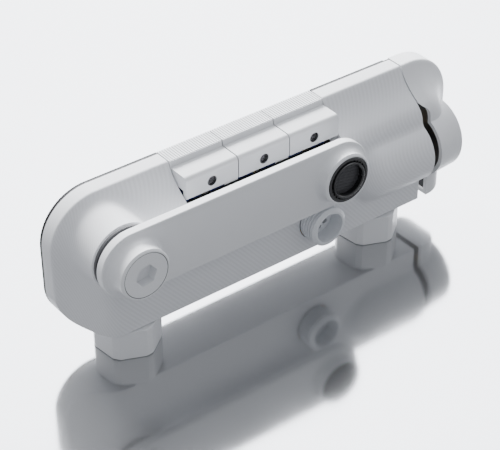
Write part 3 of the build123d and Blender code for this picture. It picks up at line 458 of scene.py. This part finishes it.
def break_edges(piece, width):
    """Bevel every sharp edge of a piece by a small width."""
    before = len(piece.data.polygons)
    select_only(piece)
    bpy.ops.object.mode_set(mode="EDIT")
    bpy.ops.mesh.select_all(action="SELECT")
    bpy.ops.mesh.dissolve_limited(angle_limit=FLAT_ANGLE)
    bpy.ops.mesh.select_mode(type="EDGE")
    bpy.ops.mesh.select_all(action="DESELECT")
    bpy.ops.mesh.edges_select_sharp(sharpness=SHARP_ANGLE)
    bpy.ops.mesh.bevel(offset=width, segments=EDGE_STEPS, profile=0.5, clamp_overlap=True)
    bpy.ops.object.mode_set(mode="OBJECT")
    bpy.ops.object.shade_smooth_by_angle(angle=ROUND_ANGLE)
    print(piece.name, "faces", before, "->", len(piece.data.polygons))


for place in PLACES:
    break_edges(shown["key_" + place], KEY_EDGE)
    break_edges(shown["valve_head_" + place], VALVE_EDGE)
for place in ("left", "right"):
    break_edges(shown["union_nut_" + place], NUT_EDGE)


# %% [markdown]
# The pieces from here on aren't in the solid model. Each takes its place from the boxes of
# the solids next to it. Those that are thin sheets on the real object are drawn flat first
# and then given their thickness.

# %% Helpers for new pieces
def middle_of(box):
    """The middle of a box, from its lowest and highest corners."""
    return [(low + high) / 2 for low, high in zip(*box)]


def thicken(piece, thickness, offset):
    """Give a sheet its thickness: on both sides with offset 0, outwards with offset 1."""
    select_only(piece)
    solid = piece.modifiers.new("thickness", "SOLIDIFY")
    solid.thickness = thickness
    solid.offset = offset
    bpy.ops.object.modifier_apply(modifier=solid.name)


# %% [markdown]
# The aerator's face is a fine woven-looking screen behind the ring. A disc with a see-through
# pattern would look flat up close, so its bars are real. It is modelled as one flat grid,
# trimmed to a disc that sits in the insert. The cells are drawn in and taken out, so that
# thin bars stay, and the bars are then given thickness.

# %% Aerator screen
SCREEN_R, SCREEN_CELLS, SCREEN_TURN = 0.0085, 22, radians(28)
SCREEN_TRIM, SCREEN_INSIDE, SCREEN_THICKNESS = 0.0003, 0.0012, 0.00035
BAR_HALF = 0.00014
insert_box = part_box("aerator_insert")
insert_x, _, insert_z = middle_of(insert_box)
screen_y = insert_box[0][1] + SCREEN_INSIDE
screen_at = Vector((insert_x, screen_y, insert_z))
bpy.ops.object.select_all(action="DESELECT")
bpy.ops.mesh.primitive_grid_add(x_subdivisions=SCREEN_CELLS, y_subdivisions=SCREEN_CELLS, size=2 * SCREEN_R,
                                location=screen_at, rotation=(radians(90), SCREEN_TURN, 0))
screen = bpy.context.object
screen.name = "aerator_screen"
bpy.ops.object.transform_apply(location=True, rotation=True, scale=True)
bpy.ops.object.mode_set(mode="EDIT")
bpy.ops.mesh.select_mode(type="FACE")
grid = bmesh.from_edit_mesh(screen.data)
for face in grid.faces:
    face.select_set((face.calc_center_median() - screen_at).length > SCREEN_R - SCREEN_TRIM)
bmesh.update_edit_mesh(screen.data)
bpy.ops.mesh.delete(type="FACE")
bpy.ops.mesh.select_all(action="SELECT")
bpy.ops.mesh.inset(use_individual=True, thickness=BAR_HALF)
bpy.ops.mesh.delete(type="FACE")
bpy.ops.object.mode_set(mode="OBJECT")
thicken(screen, SCREEN_THICKNESS, 0)
screen.data.materials.append(screen_black)
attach(screen, "spout")
print("screen faces:", len(screen.data.polygons))

# %% [markdown]
# A thin dark ring of painted shade lies round the plug in the pivot boss, in the broken edge
# of the plug. A torus would do too, but only the front edge is seen, so a flat ring is
# enough: a filled circle is inset, its middle is taken out, and the narrow ring that stays
# is extruded inwards, just below the face.

# %% Painted shade ring round the plug
PLUG_SHADE_WIDTH, PLUG_SHADE_DEPTH = 0.00032, 0.0003
PLUG_SHADE_BELOW, PLUG_SHADE_BEYOND = 0.00012, 0.00004
RING_STEPS = 96
plug_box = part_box("spout_plug")
plug_r = (plug_box[1][0] - plug_box[0][0]) / 2
plug_x, _, plug_z = middle_of(plug_box)
plug_shade_at = Vector((plug_x, plug_box[0][1] + PLUG_SHADE_BELOW, plug_z))
bpy.ops.object.select_all(action="DESELECT")
bpy.ops.mesh.primitive_circle_add(vertices=RING_STEPS, radius=plug_r + PLUG_SHADE_BEYOND, fill_type="NGON",
                                  location=plug_shade_at, rotation=(radians(90), 0, 0))
plug_shade = bpy.context.object
plug_shade.name = "plug_shade_ring"
bpy.ops.object.transform_apply(location=True, rotation=True, scale=True)
bpy.ops.object.mode_set(mode="EDIT")
bpy.ops.mesh.select_mode(type="FACE")
bpy.ops.mesh.select_all(action="SELECT")
bpy.ops.mesh.inset(thickness=PLUG_SHADE_WIDTH)
bpy.ops.mesh.delete(type="FACE")
bpy.ops.mesh.select_all(action="SELECT")
bpy.ops.mesh.extrude_region_move(TRANSFORM_OT_translate={"value": (0, PLUG_SHADE_DEPTH, 0)})
bpy.ops.mesh.select_all(action="SELECT")
bpy.ops.mesh.normals_make_consistent(inside=False)
bpy.ops.object.mode_set(mode="OBJECT")
bpy.ops.object.shade_smooth_by_angle(angle=ROUND_ANGLE)
# Painted shade: the ring stands in for the shade in the plug's broken edge.
plug_shade.data.materials.append(rubber_and_shade_black)
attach(plug_shade, "spout")
print("seal faces:", len(plug_shade.data.polygons))

# %% [markdown]
# Under the keys lies a thin dark sheet of painted shade, which makes the slot under the keys
# so dark. A plane with three holes cut in it would do too, but a grid of faces that leaves
# out the openings for the three valve heads has clean corners and few faces. It lies flat on
# the floor of the well.

# %% Painted shade sheet under the keys
KEY_STANDS = 0.006
SHADE_SHEET_THICKNESS, SHADE_SHEET_CLEARANCE = 0.0005, 0.0004
SHADE_SHEET_SIDE, SHADE_SHEET_FRONT, SHADE_SHEET_BACK = 0.0003, 0.0056, 0.0012
heads = [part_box("valve_head_" + place) for place in PLACES]
first_key, last_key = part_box("key_left"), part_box("key_right")
well_floor = first_key[0][2] - KEY_STANDS
xs = [first_key[0][0] + SHADE_SHEET_SIDE]
for low, high in heads:
    xs += [low[0] - SHADE_SHEET_CLEARANCE, high[0] + SHADE_SHEET_CLEARANCE]
xs.append(last_key[1][0] - SHADE_SHEET_SIDE)
ys = [first_key[0][1] - SHADE_SHEET_FRONT, heads[0][0][1] - SHADE_SHEET_CLEARANCE, heads[0][1][1] + SHADE_SHEET_BACK]
shade_sheet = bpy.data.objects.new("key_shade_sheet", bpy.data.meshes.new("key_shade_sheet"))
bpy.context.scene.collection.objects.link(shade_sheet)
sheet = bmesh.new()
corners = [[sheet.verts.new((x, y, well_floor)) for x in xs] for y in ys]
for row in range(2):
    for column in range(len(xs) - 1):
        is_opening = row == 1 and column % 2 == 1
        if not is_opening:
            sheet.faces.new((corners[row][column], corners[row][column + 1],
                             corners[row + 1][column + 1], corners[row + 1][column]))
sheet.to_mesh(shade_sheet.data)
sheet.free()
thicken(shade_sheet, SHADE_SHEET_THICKNESS, 1)
# Painted shade: the black sheet stands in for the shade in the slot under the keys.
shade_sheet.data.materials.append(rubber_and_shade_black)
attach(shade_sheet, "fixed")
print("mat, mm:", [round((side[-1] - side[0]) * 1000, 1) for side in (xs, ys)])


# %% [markdown]
# Each key's hole for its set screw is lined with a dark sleeve of painted shade. A cylinder
# cut out of a larger one would do, but a turned sleeve has even faces and can take any
# outline: the section of its wall is spun round the hole's axis, as a lathe would cut it.

# %% Turned rings
def turned(name, centre, outline, finish, body, steps):
    """A ring whose closed outline of (radius, y) is spun round an axis along Y."""
    piece = bpy.data.objects.new(name, bpy.data.meshes.new(name))
    bpy.context.scene.collection.objects.link(piece)
    wall = bmesh.new()
    corners = [wall.verts.new((centre[0] + r, y, centre[1])) for r, y in outline]
    edges = [wall.edges.new((corners[i - 1], corners[i])) for i in range(len(corners))]
    bmesh.ops.spin(wall, geom=corners + edges, cent=(centre[0], 0, centre[1]), axis=(0, 1, 0),
                   angle=2 * pi, steps=steps)
    bmesh.ops.remove_doubles(wall, verts=wall.verts, dist=MERGE_DISTANCE)
    bmesh.ops.recalc_face_normals(wall, faces=wall.faces)
    wall.to_mesh(piece.data)
    wall.free()
    select_only(piece)
    bpy.ops.object.shade_smooth_by_angle(angle=ROUND_ANGLE)
    piece.data.materials.append(finish)
    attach(piece, body)
    print(name, "faces", len(piece.data.polygons))


# %% Painted shade sleeves in the key holes
HOLE_SHADE_OUT, HOLE_SHADE_IN, HOLE_SHADE_STEPS = 0.00262, 0.00215, 40
HOLE_SHADE_SET_BACK, HOLE_SHADE_GAP = 0.0003, 0.0001
for place in PLACES:
    screw_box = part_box("key_screw_" + place)
    screw_x, _, screw_z = middle_of(screw_box)
    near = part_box("key_" + place)[0][1] + HOLE_SHADE_SET_BACK
    far = screw_box[0][1] - HOLE_SHADE_GAP
    # Painted shade: a black sleeve stands in for the shade inside the key's screw hole.
    turned("key_hole_shade_" + place, (screw_x, screw_z),
           [(HOLE_SHADE_OUT, near), (HOLE_SHADE_OUT, far), (HOLE_SHADE_IN, far), (HOLE_SHADE_IN, near)],
           inner_black, nodes["key_" + place]["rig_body"], HOLE_SHADE_STEPS)

# %% [markdown]
# A thin dark ring of painted shade lies on the face of the casing's boss, behind the spout
# bar. Its edge makes the gap between the boss and the bar look dark.

# %% Painted shade ring behind the spout bar
BAR_GAP = 0.0029
SHADE_RING_IN, SHADE_RING_OUT, SHADE_RING_THICKNESS = 0.0125, 0.0166, 0.0012
SHADE_RING_EDGE, SHADE_RING_OFF_FACE = 0.0002, 0.00002
boss_x, _, boss_z = middle_of(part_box("pivot_bush"))
boss_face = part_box("spout_bar")[1][1] + BAR_GAP
shade_ring_back = boss_face - SHADE_RING_OFF_FACE
shade_ring_front = shade_ring_back - SHADE_RING_THICKNESS
turned("spout_shade_ring", (boss_x, boss_z),
       [(SHADE_RING_OUT, shade_ring_back), (SHADE_RING_OUT, shade_ring_front + SHADE_RING_EDGE),
        (SHADE_RING_OUT - SHADE_RING_EDGE, shade_ring_front), (SHADE_RING_IN, shade_ring_front), (SHADE_RING_IN, shade_ring_back)],
       shade_ring_grey, "fixed", RING_STEPS)

# %% [markdown]
# The aerator's screen sits in a cup that stands a little proud of the black shell. The
# cup is turned, and its front rim is broken inside and more softly outside.

# %% Aerator cup
CUP_OUT, CUP_IN, CUP_PROUD, CUP_ROUND = 0.0096, 0.0083, 0.0008, 0.0004
CUP_BEHIND_SCREEN = 0.0002
shell_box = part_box("aerator_shell")
axis_x, _, axis_z = middle_of(shell_box)
shell_front = shell_box[0][1]
cup_front = shell_front - CUP_PROUD
cup_back = screen_y + CUP_BEHIND_SCREEN
round_part = CUP_ROUND * 0.3
turned("aerator_cup", (axis_x, axis_z),
       [(CUP_OUT, cup_back), (CUP_OUT, cup_front + CUP_ROUND),
        (CUP_OUT - round_part, cup_front + round_part),
        (CUP_OUT - CUP_ROUND, cup_front), (CUP_IN + CUP_ROUND, cup_front),
        (CUP_IN, cup_front + CUP_ROUND), (CUP_IN, cup_back)],
       aerator_black, "spout", RING_STEPS)

# %% [markdown]
# Short ribs between cup and shell give a coin or key its grip when the aerator is
# unscrewed. An array round an axis would need a second object to turn about, so a loop sets
# the ribs in their circle. Each is a cube drawn out to a bar and narrowed at its front.

# %% Aerator grip ribs
RIBS, RIB_OUT, RIB_WIDTH = 28, 0.0105, 0.0009
RIB_OVERLAP, RIB_SET_BACK, RIB_NOSE = 0.0002, 0.0004, 0.72
rib_front = shell_front + RIB_SET_BACK
rib_size = Matrix.Diagonal((RIB_OUT - CUP_OUT + RIB_OVERLAP, cup_back - rib_front, RIB_WIDTH, 1))
from_axis = Matrix.Translation(((CUP_OUT + RIB_OUT) / 2, 0, 0))
on_axis = Matrix.Translation((axis_x, (cup_back + rib_front) / 2, axis_z))
ribs_piece = bpy.data.objects.new("aerator_ribs", bpy.data.meshes.new("aerator_ribs"))
bpy.context.scene.collection.objects.link(ribs_piece)
rib_set = bmesh.new()
for number in range(RIBS):
    turn = Matrix.Rotation(2 * pi * number / RIBS, 4, "Y")
    rib = bmesh.ops.create_cube(rib_set, size=1, matrix=on_axis @ turn @ from_axis @ rib_size)
    nose = [v for v in rib["verts"] if v.co.y < (cup_back + shell_front) / 2]
    middle = sum((v.co for v in nose), Vector()) / len(nose)
    for vert in nose:
        vert.co = middle + (vert.co - middle) * RIB_NOSE
rib_set.to_mesh(ribs_piece.data)
rib_set.free()
ribs_piece.data.materials.append(aerator_black)
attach(ribs_piece, "spout")
print("ribs:", RIBS, "faces", len(ribs_piece.data.polygons))

# %% [markdown]
# A dark strip of painted shade lies in the gap between two keys, set back from their faces,
# so the gaps read as fine dark lines. Its outline has to follow the stepped key, so it is
# taken from the side of a key: that side is kept, drawn in, and given a thickness.

# %% Painted shade strips between the keys
GAP_SHADE_BACK, GAP_SHADE_THICKNESS = 0.0005, 0.00016
SIDE_DEPTH, SIDE_FACING = 0.0002, -0.99
for earlier, later in (("left", "middle"), ("middle", "right")):
    gap_shade = bpy.data.objects.new("key_gap_shade_" + later, shown["key_" + later].data.copy())
    bpy.context.scene.collection.objects.link(gap_shade)
    side_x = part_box("key_" + later)[0][0]
    gap_x = (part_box("key_" + earlier)[1][0] + side_x) / 2
    side = bmesh.new()
    side.from_mesh(gap_shade.data)
    others = [f for f in side.faces
              if f.normal.x > SIDE_FACING or f.calc_center_median().x > side_x + SIDE_DEPTH]
    bmesh.ops.delete(side, geom=others, context="FACES")
    bmesh.ops.dissolve_limit(side, angle_limit=FLAT_ANGLE, verts=side.verts, edges=side.edges)
    bmesh.ops.inset_region(side, faces=side.faces, thickness=GAP_SHADE_BACK, use_boundary=True,
                           use_even_offset=True)
    rim = [f for f in side.faces if any(e.is_boundary for e in f.edges)]
    bmesh.ops.delete(side, geom=rim, context="FACES")
    for vert in side.verts:
        vert.co.x = gap_x
    side.to_mesh(gap_shade.data)
    side.free()
    # Painted shade: the black strip stands in for the shade in the gap between two keys.
    thicken(gap_shade, GAP_SHADE_THICKNESS, 0)
    gap_shade.data.name = gap_shade.name
    gap_shade.data.materials.clear()
    gap_shade.data.materials.append(rubber_and_shade_black)
    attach(gap_shade, nodes["key_" + later]["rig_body"])
    print(gap_shade.name, "faces", len(gap_shade.data.polygons))

# %% [markdown]
# The table is a lacquered sheet that mirrors the object softly. A plain glossy white would
# mirror only a few percent from this height, so most of its shine comes from a metal-like
# layer over a pale ground.

# %% Table
TABLE_SIZE, TABLE_MIRROR = 6, 0.88
bpy.ops.object.select_all(action="DESELECT")
bpy.ops.mesh.primitive_plane_add(size=TABLE_SIZE, location=(0, 0, 0))
table = bpy.context.object
table.name = "table"
table_gloss, _, shader, _ = skinned("table_gloss", (0.52, 0.525, 0.535), 0.10, drift=0.01,
                                    grain=0.004, height=0.000002)
shader.inputs["Metallic"].default_value = TABLE_MIRROR
table.data.materials.append(table_gloss)

# %% [markdown]
# The studio is pale all round and brighter behind the object than behind the camera, which
# gives near-white tops and calm grey fronts. Many lamps could give that too, but a world
# whose strength follows one direction is softer and simpler.

# %% Studio
BEHIND = Vector((0.50, 0.66, 0.56)).normalized()
DARKEST_TOWARD = -0.2
STUDIO_COLOUR = (0.94, 0.96, 1.0, 1)
world = bpy.data.worlds.new("studio")
bpy.context.scene.world = world
world.use_nodes = True
sky = world.node_tree
toward = sky.nodes.new("ShaderNodeVectorMath")
toward.operation = "DOT_PRODUCT"
sky.links.new(sky.nodes.new("ShaderNodeTexCoord").outputs["Generated"], toward.inputs[0])
toward.inputs[1].default_value = BEHIND
ramp = sky.nodes.new("ShaderNodeMapRange")
ramp.inputs["From Min"].default_value = DARKEST_TOWARD
sky.links.new(toward.outputs["Value"], ramp.inputs["Value"])

# %% [markdown]
# The backdrop that the camera sees, straight or mirrored in the table, is brighter than the
# light that falls on the object, as with a lit wall far behind. The world keeps the two
# apart by the kind of ray: camera and mirror rays get the backdrop, and rays that have met a
# dull surface on their way get the fill.

# %% Backdrop and fill
SEEN_DIM, SEEN_BRIGHT, SEEN_RISE = 0.9, 11.0, 5.0
FILL_DIM, FILL_BRIGHT, FILL_RISE = 0.66, 3.2, 4.0


def glow(sharpness, dim, bright):
    """Strength that rises from dim in front to bright behind the object."""
    rise = add_math(sky, "POWER", ramp.outputs["Result"], sharpness)
    return add_math(sky, "ADD", add_math(sky, "MULTIPLY", rise, bright - dim), dim)


path = sky.nodes.new("ShaderNodeLightPath")
seen = add_math(sky, "MAXIMUM", path.outputs["Is Camera Ray"], path.outputs["Is Glossy Ray"])
direct = add_math(sky, "SUBTRACT", 1.0, add_math(sky, "MINIMUM", path.outputs["Diffuse Depth"], 1.0))
choice = sky.nodes.new("ShaderNodeMix")
sky.links.new(add_math(sky, "MULTIPLY", seen, direct), choice.inputs["Factor"])
sky.links.new(glow(FILL_RISE, FILL_DIM, FILL_BRIGHT), choice.inputs["A"])
sky.links.new(glow(SEEN_RISE, SEEN_DIM, SEEN_BRIGHT), choice.inputs["B"])
sky.links.new(choice.outputs["Result"], sky.nodes["Background"].inputs["Strength"])
sky.nodes["Background"].inputs["Color"].default_value = STUDIO_COLOUR
print("studio nodes:", len(sky.nodes))

# %% [markdown]
# One soft box stands behind the object and above it, and lights its tops. Glossy surfaces
# don't mirror it, because its image would be a hard bright patch on the table.

# %% Soft light
LIGHT_PLACE, LIGHT_AIM = Vector((0.05, 1.0, 0.80)), Vector((0, 0, 0.05))
LIGHT_SIZE, LIGHT_POWER = (0.6, 0.45), 62
light_data = bpy.data.lights.new("back_light", "AREA")
light_data.shape = "RECTANGLE"
light_data.size, light_data.size_y = LIGHT_SIZE
light_data.energy = LIGHT_POWER
light = bpy.data.objects.new("back_light", light_data)
light.location = LIGHT_PLACE
light.rotation_euler = (LIGHT_AIM - LIGHT_PLACE).to_track_quat("-Z", "Y").to_euler()
light.visible_glossy = False
bpy.context.scene.collection.objects.link(light)
print("light, m away:", round((LIGHT_AIM - LIGHT_PLACE).length, 2))

# %% [markdown]
# The camera was worked out from the photograph: it looks down on the mixer from the left
# with a long lens, so the far end is only a little smaller than the near end.

# %% Camera
CAMERA_PLACE = Vector((-0.4120, -0.5171, 0.5104))
CAMERA_TURN, CAMERA_RISE, CAMERA_ROLL = -0.650504, 0.623375, -0.002934
FOCAL_PIXELS, PHOTO_WIDTH, SENSOR_WIDTH = 1665.1, 500, 36
back = Vector((sin(CAMERA_TURN) * cos(CAMERA_RISE), -cos(CAMERA_TURN) * cos(CAMERA_RISE), sin(CAMERA_RISE)))
right = Vector((0, 0, 1)).cross(back).normalized()
up = back.cross(right)
right, up = (right * cos(CAMERA_ROLL) + up * sin(CAMERA_ROLL),
             up * cos(CAMERA_ROLL) - right * sin(CAMERA_ROLL))
camera_data = bpy.data.cameras.new("camera")
camera_data.sensor_width = SENSOR_WIDTH
camera_data.lens = FOCAL_PIXELS * SENSOR_WIDTH / PHOTO_WIDTH
camera = bpy.data.objects.new("camera", camera_data)
camera.matrix_world = Matrix.Translation(CAMERA_PLACE) @ Matrix((right, up, back)).transposed().to_4x4()
bpy.context.scene.collection.objects.link(camera)
bpy.context.scene.camera = camera
print("lens:", round(camera_data.lens, 1), "mm")
